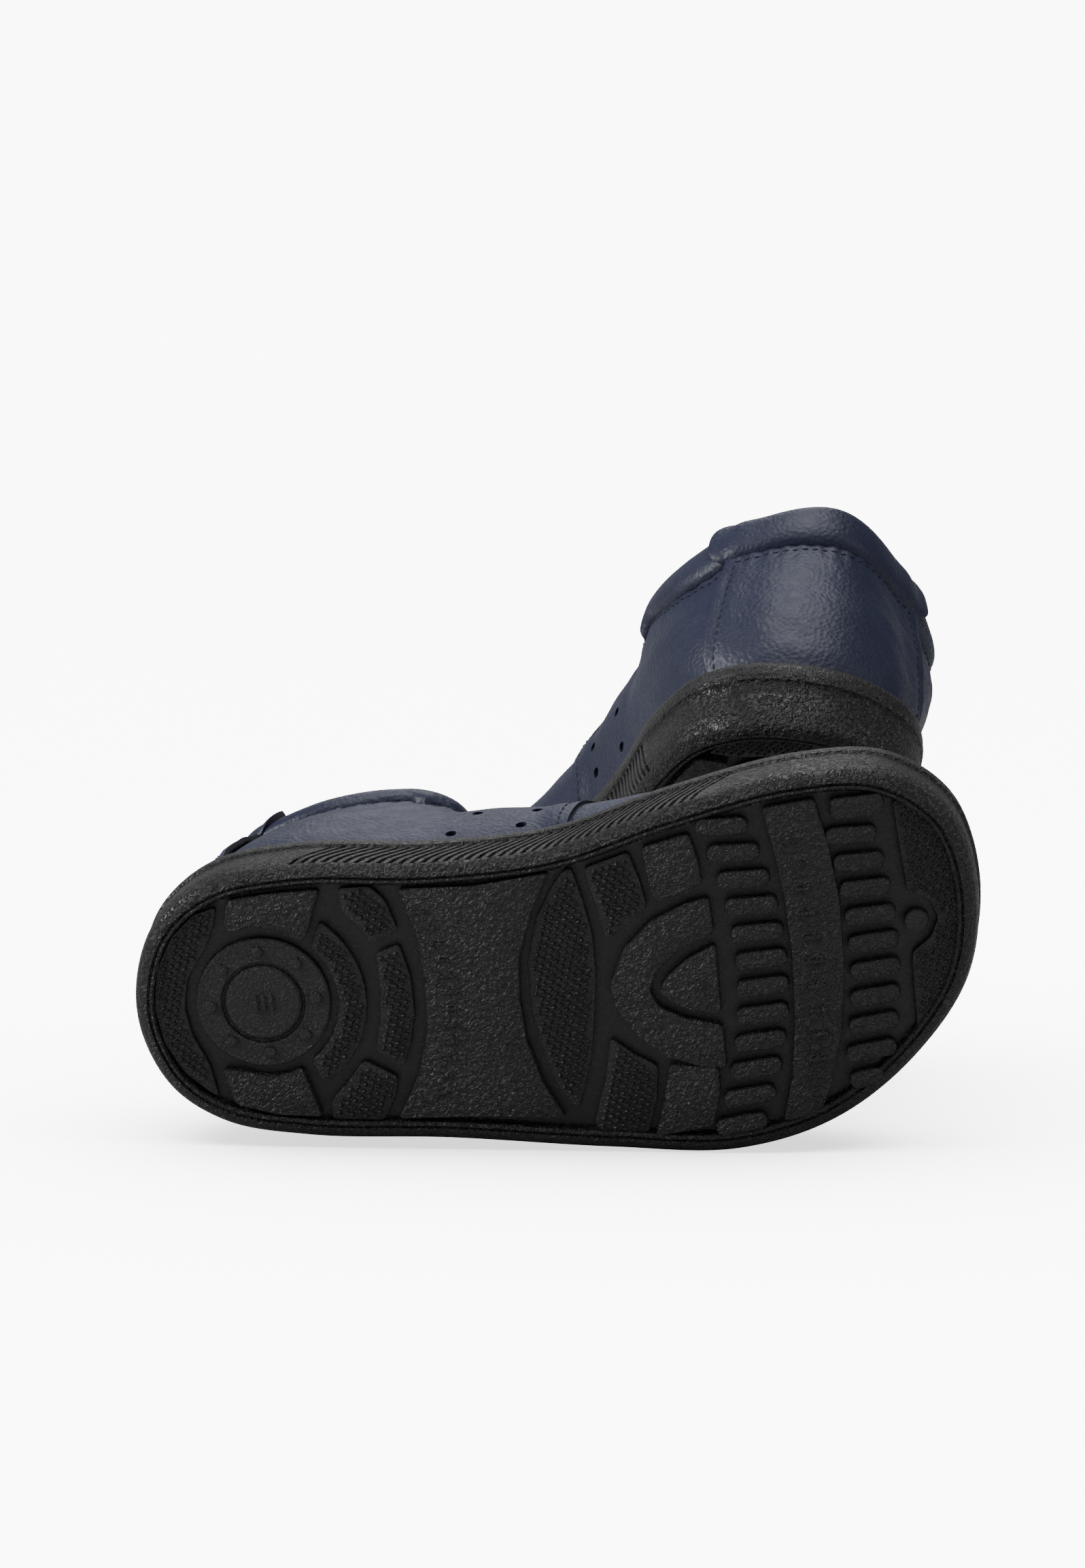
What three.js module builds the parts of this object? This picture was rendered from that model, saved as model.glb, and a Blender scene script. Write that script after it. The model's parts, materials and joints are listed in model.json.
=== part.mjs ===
// A pair of size 24 children's leather shoes on black rubber cup soles, as they lie on a table:
// the left shoe rests on its outer side, and the right shoe leans its heel on it, toe down.
// Millimetres. Each shoe is built in its own frame: X from heel to toe, Y to the outer side,
// Z up from the ground, origin under the back of the heel. The right shoe is the left one mirrored.
import * as THREE from 'three';
import { mergeVertices } from 'three/addons/utils/BufferGeometryUtils.js';

// ---------------------------------------------------------------- driving dimensions
const GAP = 0.3; // clear space between touching pieces
const LAYER_GAP = 0.5; // the same between curved layers
const TREAD_START = 105; // the sole is flat from the heel to here
const SOLE_LENGTH = 170;
const TOE_RISE = 9; // how far the toe end of the sole stands off the ground
const RIM_HEIGHT = 17; // top of the cup sole's wall
const CUP_FLOOR = 7; // thickness of the cup sole's floor
const WALL_INSET = 2.8; // inside of the cup's wall, in from the sole's outline
const LEATHER = 1.2;
const STIFFENER = 0.8;
const LINING = 0.8;
const COLLAR_PUFF = 2.4; // how far the padded collar stands out
const BOARD = 1.7;
const FOOTBED = 3.5;
const STRAP = 1.5;
const TAPE = 0.8; // hook and loop tape

// Where each layer of the wall starts, inwards from the outside of the leather.
const STIFFENER_DEPTH = LEATHER + LAYER_GAP;
const LINING_DEPTH = STIFFENER_DEPTH + STIFFENER + LAYER_GAP;
const LEATHER_INSET = WALL_INSET + LAYER_GAP;
const FOOTBED_INSET = LEATHER_INSET + LINING_DEPTH + LINING + LAYER_GAP;

// Outline of the sole seen from above, from the back of the heel along the inner side.
const SOLE_OUTLINE = [
  [0, 0], [5.5, -17], [17.5, -26], [36, -28.3], [62, -26.2], [87, -26.9], [111, -33],
  [136, -36.9], [154, -34.8], [166, -24.5], [SOLE_LENGTH, -8], [166.5, 10.5], [155, 25],
  [138, 36], [118, 40.2], [92, 37.5], [60, 32.7], [32, 29.6], [15, 25], [4.5, 16],
];

// The upper joins each point of the rim (first number, its x) to a point of the collar's top line
// or of the ridge along the instep: x, distance from the middle on the inner and on the outer side,
// height, and how far the join is a dome over the foot (1) rather than an open wall (0).
const CLOSING = [
  [0, 12, 0, 0, 63, 0],
  [15, 21, 16, 17.5, 59.5, 0],
  [30, 35, 21, 27, 57.5, 0],
  [46, 50, 22.5, 29, 57, 0],
  [60, 62, 19.5, 25, 58, 0.15],
  [67, 69, 10, 13, 61, 0.7],
  [74, 78, 0, 0, 60, 1],
  [88, 95, 0, 0, 53, 1],
  [112, 113, 0, 0, 46, 1],
  [138, 129, 0, 0, 41.5, 1],
  [158, 142, 0, 0, 38.5, 1],
  [SOLE_LENGTH, 150, 0, 0, 37, 1],
];
const BULGE = { inner: 4, outer: 9 }; // how far the walls swell out on their way up
const DOME_BULGE = { back: 9, toe: 1.5 };

// Height of the seam under the padded collar, by the rim's x.
const COLLAR_SEAM = [[0, 51.5], [15, 48.5], [30, 46], [46, 48.5], [60, 52.5], [67, 55]];
const HEEL_SEAM_X = 15.5; // the heel panel's side seams
const COLLAR_END_X = 62; // front end of the side collars
const VAMP_SEAM_X = 88; // quarters end and the vamp begins
const THROAT = [[54, 21], [66, 17], [VAMP_SEAM_X, 9.5]]; // half width of the throat, by the rim's x

const STRAPS = {
  rear: { middle: 72.5, width: 13.5 },
  front: { middle: 89, width: 13.5 },
};
const STRAP_ROOT = 0.66; // where a strap is sewn on the inner side, from rim 0 to ridge 1
const STRAP_END = 0.3; // where its free end lies on the outer side

// How the pair lies: place of each shoe's origin, and its roll, pitch and yaw in degrees.
const LEFT_PLACE = { at: [-87.5, -81.5, 25.45], turn: [-77.75, -5.75, -6.5] };
const RIGHT_PLACE = { at: [55, -44, 77.4], turn: [19, 30, 114.4] };

// ---------------------------------------------------------------- materials
const LOOKS = {
  rubber: { color: 0x17171a, roughness: 0.62 },
  navy: { color: 0x232a44, roughness: 0.5 },
  lining: { color: 0x14151c, roughness: 0.9 },
  board: { color: 0x8a8072, roughness: 0.95 },
  foam: { color: 0x9c9a92, roughness: 1 },
  footbed: { color: 0x2a2d38, roughness: 0.85 },
  tape: { color: 0x101116, roughness: 0.95 },
};

function material(look) {
  return new THREE.MeshStandardMaterial({ metalness: 0, ...LOOKS[look] });
}

// ---------------------------------------------------------------- small helpers
const mix = (a, b, k) => a + (b - a) * k;
const clamp01 = (k) => Math.min(1, Math.max(0, k));

function smooth(low, high, value) {
  const k = clamp01((value - low) / (high - low));
  return k * k * (3 - 2 * k);
}

// A smooth curve through [place, value] rows, with slopes from the neighbouring rows.
function through(rows, place, column = 1) {
  const last = rows.length - 1;
  if (place <= rows[0][0]) return rows[0][column];
  if (place >= rows[last][0]) return rows[last][column];
  let i = 0;
  while (rows[i + 1][0] < place) i += 1;
  const slope = (k) => {
    const before = rows[Math.max(0, k - 1)];
    const after = rows[Math.min(last, k + 1)];
    return (after[column] - before[column]) / (after[0] - before[0]);
  };
  const [a, b] = [rows[i], rows[i + 1]];
  const span = b[0] - a[0];
  const k = (place - a[0]) / span;
  const k2 = k * k;
  const k3 = k2 * k;
  return (
    (2 * k3 - 3 * k2 + 1) * a[column] +
    (k3 - 2 * k2 + k) * span * slope(i) +
    (3 * k2 - 2 * k3) * b[column] +
    (k3 - k2) * span * slope(i + 1)
  );
}

// The place between low and high where a rising function reaches a target.
function solve(rising, target, low, high) {
  let [a, b] = [low, high];
  for (let i = 0; i < 36; i += 1) {
    const middle = (a + b) / 2;
    if (rising(middle) < target) a = middle;
    else b = middle;
  }
  return (a + b) / 2;
}

// ---------------------------------------------------------------- the sole's outline
const outlineCurve = new THREE.CatmullRomCurve3(
  SOLE_OUTLINE.map(([x, y]) => new THREE.Vector3(x, y, 0)),
  true,
  'centripetal',
);
outlineCurve.arcLengthDivisions = 800;
const PERIMETER = outlineCurve.getLength();
const SEAM_GAP = (GAP * 0.7) / PERIMETER; // half a seam's clear space, as a share of the outline

const rise = (x) => TOE_RISE * Math.max(0, (x - TREAD_START) / (SOLE_LENGTH - TREAD_START)) ** 2;
const wrap = (s) => ((s % 1) + 1) % 1;

// Outward direction of the outline at s, which runs from 0 at the heel, by the inner side, to 1.
function outward(s) {
  const along = outlineCurve.getTangentAt(wrap(s));
  return new THREE.Vector3(along.y, -along.x, 0).normalize();
}

function outline(s, inset, z) {
  const p = outlineCurve.getPointAt(wrap(s)).addScaledVector(outward(s), -inset);
  return new THREE.Vector3(p.x, p.y, z + rise(p.x));
}

const TOE_S = solve((s) => -outlineCurve.getTangentAt(s).x, 0, 0.4, 0.6);
const innerS = (x) => solve((s) => outlineCurve.getPointAt(s).x, x, 0, TOE_S);
const outerS = (x) => 1 - solve((s) => outlineCurve.getPointAt(1 - s).x, x, 0, 1 - TOE_S);

// ---------------------------------------------------------------- the upper's surface
// The closing rows keyed by an angle that runs evenly round both ends of the sole, with a mirrored
// row beyond each end so the curves cross the middle squarely.
const roundEnds = (x) => Math.acos(1 - 2 * clamp01(x / SOLE_LENGTH));
const closing = CLOSING.map(([x, ...rest]) => [roundEnds(x), ...rest]);
const mirrored = ([angle, topX, innerY, outerY, ...rest], centre) =>
  [2 * centre - angle, topX, -innerY, -outerY, ...rest];
closing.unshift(mirrored(closing[1], 0));
closing.push(mirrored(closing[closing.length - 2], Math.PI));

// The line over the upper that starts at s on the rim: its four Bezier points and its dome share.
function upperLine(s) {
  const u = wrap(s);
  const inner = u <= TOE_S;
  const x = outlineCurve.getPointAt(u).x;
  const start = outline(u, LEATHER_INSET, RIM_HEIGHT + 0.5);
  const [topX, innerY, outerY, topZ, dome] = [1, 2, 3, 4, 5].map((c) => through(closing, roundEnds(x), c));
  const end = new THREE.Vector3(topX, inner ? -innerY : outerY, topZ);
  const out = outward(u);
  const height = end.z - start.z;
  const domeBulge = mix(DOME_BULGE.back, DOME_BULGE.toe, smooth(76, 116, x));
  const bulge = (inner ? BULGE.inner : BULGE.outer) * smooth(6, 34, x);
  const first = start.clone().addScaledVector(out, mix(bulge, domeBulge, dome));
  first.z += height * mix(0.4, 0.55, dome);
  const wallTop = end.clone().addScaledVector(out, mix(1.6, bulge, smooth(6, 34, x)));
  wallTop.z -= height * 0.3;
  const domeTop = new THREE.Vector3().lerpVectors(end, start, 0.7);
  domeTop.z = end.z;
  return { points: [start, first, wallTop.lerp(domeTop, dome), end], dome };
}

function upper(s, t) {
  const { points } = upperLine(s);
  const r = 1 - t;
  const share = [r * r * r, 3 * r * r * t, 3 * r * t * t, t * t * t];
  return points.reduce((sum, p, i) => sum.addScaledVector(p, share[i]), new THREE.Vector3());
}

// Outward direction of the upper. On the ridge both sides give the same one, and at the ridge's
// toe end, where the lines meet in a point, it is taken a little below.
function upperNormal(s, t) {
  const step = 1e-3;
  const onRidge = t > 0.999 && upperLine(s).dome > 0.99;
  if (onRidge && Math.abs(wrap(s) - TOE_S) > 4 * step) {
    const along = upper(s + step, 1).sub(upper(s - step, 1));
    const flip = along.x < 0 ? -1 : 1;
    return new THREE.Vector3(-along.z * flip, 0, along.x * flip).normalize();
  }
  const level = onRidge ? 0.97 : t;
  const around = upper(s + step, level).sub(upper(s - step, level));
  const up = upper(s, Math.min(1, level + step)).sub(upper(s, Math.max(0, level - step)));
  return around.cross(up).normalize();
}

const onUpper = (s, t, depth) => upper(s, t).addScaledVector(upperNormal(s, t), -depth);
const rimX = (s) => outlineCurve.getPointAt(wrap(s)).x;

// How far up the line at s the collar's seam, then the throat's edge, lies.
function quarterTop(s) {
  const x = rimX(s);
  const seam = solve((t) => upper(s, t).z, through(COLLAR_SEAM, x), 0, 0.97);
  const throat = solve((t) => -Math.abs(upper(s, t).y), -through(THROAT, x), 0.3, 1);
  return mix(seam, throat, smooth(54, 66, x));
}

// ---------------------------------------------------------------- solids from grids of points
// A closed solid between an outer and an inner grid of points, rows[v][u]. With ridge set, the
// last row folds onto itself along the ridge, so that edge needs no wall.
function slab(outer, inner, { ridge = false, ring = false } = {}) {
  const rows = outer.length;
  const columns = outer[0].length;
  const place = [];
  [outer, inner].forEach((grid) => grid.forEach((row) => row.forEach((p) => place.push(p))));
  const index = (v, u, under) => (under ? rows * columns : 0) + v * columns + (u % columns);
  const faces = [];
  const quad = (a, b, c, d) => faces.push(a, b, c, a, c, d);
  const last = ring ? columns : columns - 1;
  for (let v = 0; v < rows - 1; v += 1) {
    for (let u = 0; u < last; u += 1) {
      quad(index(v, u), index(v, u + 1), index(v + 1, u + 1), index(v + 1, u));
      quad(index(v, u, 1), index(v + 1, u, 1), index(v + 1, u + 1, 1), index(v, u + 1, 1));
    }
    if (!ring) {
      quad(index(v, 0), index(v + 1, 0), index(v + 1, 0, 1), index(v, 0, 1));
      quad(index(v, last), index(v, last, 1), index(v + 1, last, 1), index(v + 1, last));
    }
  }
  for (let u = 0; u < last; u += 1) {
    quad(index(0, u), index(0, u, 1), index(0, u + 1, 1), index(0, u + 1));
    if (!ridge) {
      const v = rows - 1;
      quad(index(v, u), index(v, u + 1), index(v, u + 1, 1), index(v, u, 1));
    }
  }
  return closed(place, faces);
}

// A geometry from points and face corners, with points at one place merged.
function closed(place, faces) {
  const geometry = new THREE.BufferGeometry().setFromPoints(place);
  geometry.setIndex(faces);
  const merged = mergeVertices(geometry, 1e-3);
  merged.computeVertexNormals();
  return merged;
}

const grid = (rows, columns, point) =>
  Array.from({ length: rows + 1 }, (_, v) =>
    Array.from({ length: columns + 1 }, (_, u) => point(u / columns, v / rows)));

// Ways along the rim: straight from one place to another, or from x on the inner side round the
// toe to the same x on the outer side, with the two sides in step.
const between = (s0, s1) => (u) => mix(s0, s1, u);
const roundToe = (x) => (u) => {
  const at = mix(x, rimX(TOE_S), Math.sin(Math.PI * Math.min(u, 1 - u)));
  if (Math.abs(u - 0.5) < 1e-6) return TOE_S;
  return u < 0.5 ? innerS(at) : outerS(at);
};

// A patch of the upper along a way, between two heights given by functions of s, from one depth
// to another. A skirt carries it down inside the cup.
function patch({ way, low = () => 0, high, from, to, columns, rows, skirt = false, ridge = false }) {
  const layer = (depth) => {
    const points = grid(rows, columns, (u, v) => {
      const s = way(u);
      const t = mix(low(s), high(s), v);
      const d = typeof depth === 'function' ? depth(s, t, v) : depth;
      return onUpper(s, t, d);
    });
    if (skirt) {
      points.unshift(Array.from({ length: columns + 1 }, (_, u) => {
        const d = typeof depth === 'function' ? depth(0, 0, 0) : depth;
        return outline(way(u / columns), LEATHER_INSET + d, CUP_FLOOR + GAP);
      }));
    }
    return points;
  };
  return slab(layer(from), layer(to), { ridge });
}

// ---------------------------------------------------------------- bottom pieces
const RING = 56;
const ringOf = (inset, z) =>
  Array.from({ length: RING }, (_, i) => outline(i / RING, inset, z));

// Rings of points joined in order, with the first and last closed by ladders across the sole.
function rings(list) {
  const faces = [];
  const at = (r, i) => r * RING + (i % RING);
  for (let r = 0; r < list.length - 1; r += 1) {
    for (let i = 0; i < RING; i += 1) {
      faces.push(at(r, i), at(r, i + 1), at(r + 1, i + 1));
      faces.push(at(r, i), at(r + 1, i + 1), at(r + 1, i));
    }
  }
  const cap = (r, up) => {
    for (let i = 0; i < RING / 2; i += 1) {
      const corners = [at(r, i), at(r, i + 1), at(r, RING - i - 1), at(r, RING - i)];
      if (!up) corners.reverse();
      const [a, b, c, d] = corners;
      if (a !== d) faces.push(a, b, d);
      if (b !== c) faces.push(b, c, d);
    }
  };
  cap(0, false);
  cap(list.length - 1, true);
  return closed(list.flat(), faces);
}

// The moulded rubber cup: tread face, rounded edge, leaning wall, and the hollow for the upper.
function outsole() {
  return rings([
    ringOf(3.2, 0), ringOf(0.9, 1), ringOf(0, 3.6), ringOf(0.1, 9), ringOf(0.9, RIM_HEIGHT - 0.5),
    ringOf(1.3, RIM_HEIGHT), ringOf(WALL_INSET, RIM_HEIGHT), ringOf(WALL_INSET, CUP_FLOOR),
  ]);
}

const plate = (low, high, inset) => rings([ringOf(inset, low), ringOf(inset, high)]);
const insoleBoard = () => plate(CUP_FLOOR + GAP, CUP_FLOOR + GAP + BOARD, FOOTBED_INSET);

function footbed() {
  const low = CUP_FLOOR + GAP + BOARD + GAP;
  return plate(low, low + FOOTBED, FOOTBED_INSET);
}

// ---------------------------------------------------------------- upper pieces
const heelInner = innerS(HEEL_SEAM_X);
const heelOuter = outerS(HEEL_SEAM_X);
const seamUnder = (s) => quarterTop(s) - 0.01;
const seamOver = (s) => quarterTop(s) + 0.01;
const toTop = () => 1;

// The padded collar stands out between its seam and the top line.
function puffed(extra) {
  return (s, t, v) => extra - COLLAR_PUFF * Math.sin(Math.PI * clamp01(v)) ** 0.8;
}

function heelPanel() {
  return patch({
    way: between(heelOuter - 1 + SEAM_GAP, heelInner - SEAM_GAP), high: seamUnder,
    from: 0, to: LEATHER, columns: 12, rows: 4, skirt: true,
  });
}

function heelCollar() {
  return patch({
    way: between(heelOuter - 1 + SEAM_GAP, heelInner - SEAM_GAP), low: seamOver, high: toTop,
    from: puffed(0), to: puffed(LEATHER), columns: 12, rows: 4,
  });
}

function quarter(inner) {
  const [a, b] = inner ? [heelInner, innerS(VAMP_SEAM_X)] : [outerS(VAMP_SEAM_X), heelOuter];
  return patch({
    way: between(a + SEAM_GAP, b - SEAM_GAP), high: seamUnder,
    from: 0, to: LEATHER, columns: 12, rows: 5, skirt: true,
  });
}

function sideCollar(inner) {
  const [a, b] = inner ? [heelInner, innerS(COLLAR_END_X)] : [outerS(COLLAR_END_X), heelOuter];
  return patch({
    way: between(a + SEAM_GAP, b - SEAM_GAP), low: seamOver, high: toTop,
    from: puffed(0), to: puffed(LEATHER), columns: 8, rows: 4,
  });
}

function collarFoam() {
  return patch({
    way: between(outerS(58) - 1, innerS(58)), low: (s) => seamOver(s) + 0.02, high: () => 0.97,
    from: puffed(LEATHER + LAYER_GAP), to: LINING_DEPTH - LAYER_GAP, columns: 20, rows: 3,
  });
}

function vamp() {
  return patch({
    way: roundToe(VAMP_SEAM_X + GAP * 0.7), high: toTop,
    from: 0, to: LEATHER, columns: 24, rows: 6, skirt: true, ridge: true,
  });
}

function vampLining() {
  return patch({
    way: roundToe(95), high: toTop,
    from: LINING_DEPTH, to: LINING_DEPTH + LINING, columns: 20, rows: 4, skirt: true, ridge: true,
  });
}

function quarterLining() {
  const top = (s) => mix(0.99, quarterTop(s) - 0.04, smooth(54, 66, rimX(s)));
  return patch({
    way: between(outerS(94) - 1, innerS(94)), high: top,
    from: LINING_DEPTH, to: LINING_DEPTH + LINING, columns: 24, rows: 3, skirt: true,
  });
}

function heelCounter() {
  return patch({
    way: between(outerS(34) - 1, innerS(34)), low: () => 0.03, high: (s) => quarterTop(s) - 0.04,
    from: STIFFENER_DEPTH, to: STIFFENER_DEPTH + STIFFENER, columns: 14, rows: 2,
  });
}

function toePuff() {
  return patch({
    way: roundToe(140), low: () => 0.03, high: () => 0.7,
    from: STIFFENER_DEPTH, to: STIFFENER_DEPTH + STIFFENER, columns: 16, rows: 4,
  });
}

// The padded tongue, an arched strip from under the vamp to above the top line.
const TONGUE_LINE = [[100, 43.5], [90, 47.5], [79, 52.5], [69, 58], [61, 64.5]];
function tongue() {
  const rows = TONGUE_LINE.length - 1;
  const columns = 6;
  const layer = (lift) => grid(rows, columns, (u, v) => {
    const [x, z] = TONGUE_LINE[Math.round(v * rows)];
    const half = mix(8, 12, smooth(0.2, 0.8, v));
    const across = mix(-1, 1, u);
    return new THREE.Vector3(x, half * across, z + lift - 6 * across * across);
  });
  return slab(layer(0), layer(-3));
}

// ---------------------------------------------------------------- straps
// A point over the instep at station x on either side: the surface line through it is found first.
function instep(x, inner, t, lift) {
  const at = (s) => upper(inner ? s : 1 - s, t).x;
  const toe = inner ? TOE_S : 1 - TOE_S;
  const s = solve(at, x, inner ? innerS(40) : 1 - outerS(40), toe);
  return onUpper(inner ? s : 1 - s, t, -lift);
}

// A strap over the instep, from its sewn root on the inner side, over the ridge, to its free end.
function strap({ middle, width }, low, high) {
  const over = (1 - STRAP_ROOT) / (2 - STRAP_ROOT - STRAP_END); // share of the way to the ridge
  const layer = (lift) => grid(1, 14, (u, v) => {
    const x = middle - width * (v - 0.5);
    const up = mix(LAYER_GAP + (lift - low), lift, smooth(0, over, u));
    if (u < over) return instep(x, true, mix(STRAP_ROOT, 1, u / over), up);
    return instep(x, false, mix(1, STRAP_END, (u - over) / (1 - over)), up);
  });
  return slab(layer(high), layer(low));
}

// A patch of tape under the strap's free end.
function tape({ middle, width }, low, high) {
  const layer = (lift) => grid(1, 5, (u, v) =>
    instep(middle - (width - 3) * (v - 0.5), false, mix(0.66, STRAP_END + 0.05, u), lift));
  return slab(layer(high), layer(low));
}

function strapPieces(which) {
  const loop = LAYER_GAP;
  const hook = loop + TAPE + LAYER_GAP;
  const band = hook + TAPE + LAYER_GAP;
  return [
    [`${which}_loop_pad`, tape(STRAPS[which], loop, loop + TAPE), 'tape'],
    [`${which}_hook_pad`, tape(STRAPS[which], hook, hook + TAPE), 'tape'],
    [`${which}_strap`, strap(STRAPS[which], band, band + STRAP), 'navy'],
  ];
}

// ---------------------------------------------------------------- one shoe, then the pair
const PIECES = [
  ['outsole', outsole(), 'rubber'],
  ['insole_board', insoleBoard(), 'board'],
  ['footbed', footbed(), 'footbed'],
  ['heel_counter', heelCounter(), 'board'],
  ['toe_puff', toePuff(), 'board'],
  ['quarter_lining', quarterLining(), 'lining'],
  ['vamp_lining', vampLining(), 'lining'],
  ['collar_foam', collarFoam(), 'foam'],
  ['vamp', vamp(), 'navy'],
  ['inner_quarter', quarter(true), 'navy'],
  ['outer_quarter', quarter(false), 'navy'],
  ['heel_panel', heelPanel(), 'navy'],
  ['heel_collar', heelCollar(), 'navy'],
  ['inner_collar', sideCollar(true), 'navy'],
  ['outer_collar', sideCollar(false), 'navy'],
  ['tongue', tongue(), 'navy'],
  ...strapPieces('rear'),
  ...strapPieces('front'),
];

function shoe(side) {
  const group = new THREE.Group();
  for (const [name, geometry, look] of PIECES) {
    const mesh = new THREE.Mesh(geometry, material(look));
    mesh.name = `${side}_${name}`;
    group.add(mesh);
  }
  if (side === 'right') group.scale.y = -1;
  return group;
}

function placed(group, { at, turn }) {
  const holder = new THREE.Group();
  const [roll, pitch, yaw] = turn.map((degrees) => THREE.MathUtils.degToRad(degrees));
  holder.rotation.set(roll, pitch, yaw, 'ZYX');
  holder.position.set(...at);
  holder.add(group);
  return holder;
}

const pair = new THREE.Group();
pair.add(placed(shoe('left'), LEFT_PLACE), placed(shoe('right'), RIGHT_PLACE));

// The part's origin is in the middle of its box, on the ground.
const box = new THREE.Box3().setFromObject(pair, true);
const centre = box.getCenter(new THREE.Vector3());
pair.position.set(-centre.x, -centre.y, -box.min.z);

const part = new THREE.Group();
part.add(pair);

export default part;
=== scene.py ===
# %% [markdown]
# # A pair of small leather shoes
# The model is two low shoes of size 24: navy leather uppers on black rubber cup soles. The left
# shoe lies on its outer side with its tread to the viewer, and the right one stands behind it on
# its toe, leaning its heel over the other. The imported model comes first, because every piece made
# here has to sit where that model says.

# %% Load the imported model
import json
import math

import bmesh
import bpy
import numpy as np
from mathutils import Euler, Matrix, Vector


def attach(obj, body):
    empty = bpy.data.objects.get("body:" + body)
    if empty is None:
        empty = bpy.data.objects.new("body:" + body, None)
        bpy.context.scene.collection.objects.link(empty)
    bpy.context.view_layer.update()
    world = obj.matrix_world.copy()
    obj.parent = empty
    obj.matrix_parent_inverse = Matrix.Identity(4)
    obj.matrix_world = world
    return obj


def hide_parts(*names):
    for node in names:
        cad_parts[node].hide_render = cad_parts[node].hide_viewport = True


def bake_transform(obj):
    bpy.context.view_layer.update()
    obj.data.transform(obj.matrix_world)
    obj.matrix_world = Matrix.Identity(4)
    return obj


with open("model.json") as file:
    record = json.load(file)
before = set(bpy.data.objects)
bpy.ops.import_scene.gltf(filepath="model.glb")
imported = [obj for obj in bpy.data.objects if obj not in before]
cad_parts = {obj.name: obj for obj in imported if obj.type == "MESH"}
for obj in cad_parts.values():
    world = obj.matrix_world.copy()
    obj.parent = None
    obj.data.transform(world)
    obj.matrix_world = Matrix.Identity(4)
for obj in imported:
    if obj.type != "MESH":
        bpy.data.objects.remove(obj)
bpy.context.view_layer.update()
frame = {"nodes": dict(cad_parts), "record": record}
mounts = {mount["name"]: mount for mount in frame["record"]["mounts"]}

# %% [markdown]
# ## Where each shoe stands
# A shoe is easiest to draw in its own space: x from heel to toe, y to the outer side, z up from
# the ground, in millimetres. Each shoe then needs one matrix that turns and places it. The turns
# are roll, pitch and yaw, and the place comes from the flat spot under the waist of each sole,
# which the model states 50 mm ahead of the heel. The right shoe is the left one mirrored.

# %% Place the two shoes
TURNS = {"left": (-77.75, -5.75, -6.5), "right": (19.0, 30.0, 114.4)}
FLAT_SPOT = Vector((50, 0, 0))


def shoe_matrix(side):
    turn = Euler([math.radians(a) for a in TURNS[side]], "XYZ").to_matrix()
    origin = Vector(mounts[side + "_sole_face"]["pos_m"]) - turn @ (FLAT_SPOT / 1000)
    size = 0.001
    mirror = Matrix.Diagonal((size, size if side == "left" else -size, size, 1))
    return Matrix.Translation(origin) @ turn.to_4x4() @ mirror


PLACES = {side: shoe_matrix(side) for side in TURNS}
for side, place in PLACES.items():
    print(side, "heel at", [round(v, 4) for v in place.translation])

# %% [markdown]
# ## The sole's outline
# Every part of a shoe follows the outline of its sole, so the outline is a function: give it a
# share of the way round, from the back of the heel along the inner side, and it returns a point.
# A few listed points joined by a centripetal spline make a smooth foot shape that never
# overshoots. The toe end rises a little off the ground, which is called toe spring.

# %% Draw the outline
SOLE_OUTLINE = [
    (0, 0), (5.5, -17), (17.5, -26), (36, -28.3), (62, -26.2), (87, -26.9), (111, -33),
    (136, -36.9), (154, -34.8), (166, -24.5), (170, -8), (166.5, 10.5), (155, 25),
    (138, 36), (118, 40.2), (92, 37.5), (60, 32.7), (32, 29.6), (15, 25), (4.5, 16),
]
SOLE_LENGTH, TREAD_START, TOE_RISE = 170, 105, 9
RIM_HEIGHT, WALL_INSET = 17, 2.8
LEATHER_INSET = WALL_INSET + 0.5


def spline_loop(points, steps=80):
    p = np.array(points, float)
    curve = []
    for i in range(len(p)):
        a, b, c, d = p[i - 1], p[i], p[(i + 1) % len(p)], p[(i + 2) % len(p)]
        e, f, g = (np.linalg.norm(n - m) ** 0.5 for m, n in ((a, b), (b, c), (c, d)))
        start = ((b - a) / e - (c - a) / (e + f) + (c - b) / f) * f
        end = ((c - b) / f - (d - b) / (f + g) + (d - c) / g) * f
        k = np.linspace(0, 1, steps, endpoint=False)[:, None]
        curve.append(b + start * k + (3 * (c - b) - 2 * start - end) * k**2
                     + (2 * (b - c) + start + end) * k**3)
    return np.concatenate(curve)


loop = spline_loop(SOLE_OUTLINE)
loop = np.vstack([loop, loop[:1]])
steps = np.linalg.norm(np.diff(loop, axis=0), axis=1)
PERIMETER = steps.sum()
loop_share = np.concatenate([[0], np.cumsum(steps)]) / PERIMETER
TOE_S = loop_share[np.argmax(loop[:, 0])]
print(f"outline {PERIMETER:.0f} mm round, toe at {TOE_S:.3f} of the way")


def at_share(s, inset=0.0):
    """Points of the outline, moved inwards by inset."""
    s = np.asarray(s, float)
    look = lambda k: np.stack([np.interp(k % 1, loop_share, loop[:, c]) for c in (0, 1)], -1)
    along = look(s + 0.004) - look(s - 0.004)
    along /= np.linalg.norm(along, axis=-1, keepdims=True)
    out = np.stack([along[..., 1], -along[..., 0]], -1)
    return look(s) - out * np.asarray(inset, float)[..., None], out


def spring(x):
    return TOE_RISE * np.maximum(0, (x - TREAD_START) / (SOLE_LENGTH - TREAD_START)) ** 2


def inner_s(x):
    keep = loop_share <= TOE_S
    return np.interp(x, loop[keep, 0], loop_share[keep])


def outer_s(x):
    keep = loop_share >= TOE_S
    return np.interp(x, loop[keep, 0][::-1], loop_share[keep][::-1])


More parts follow.
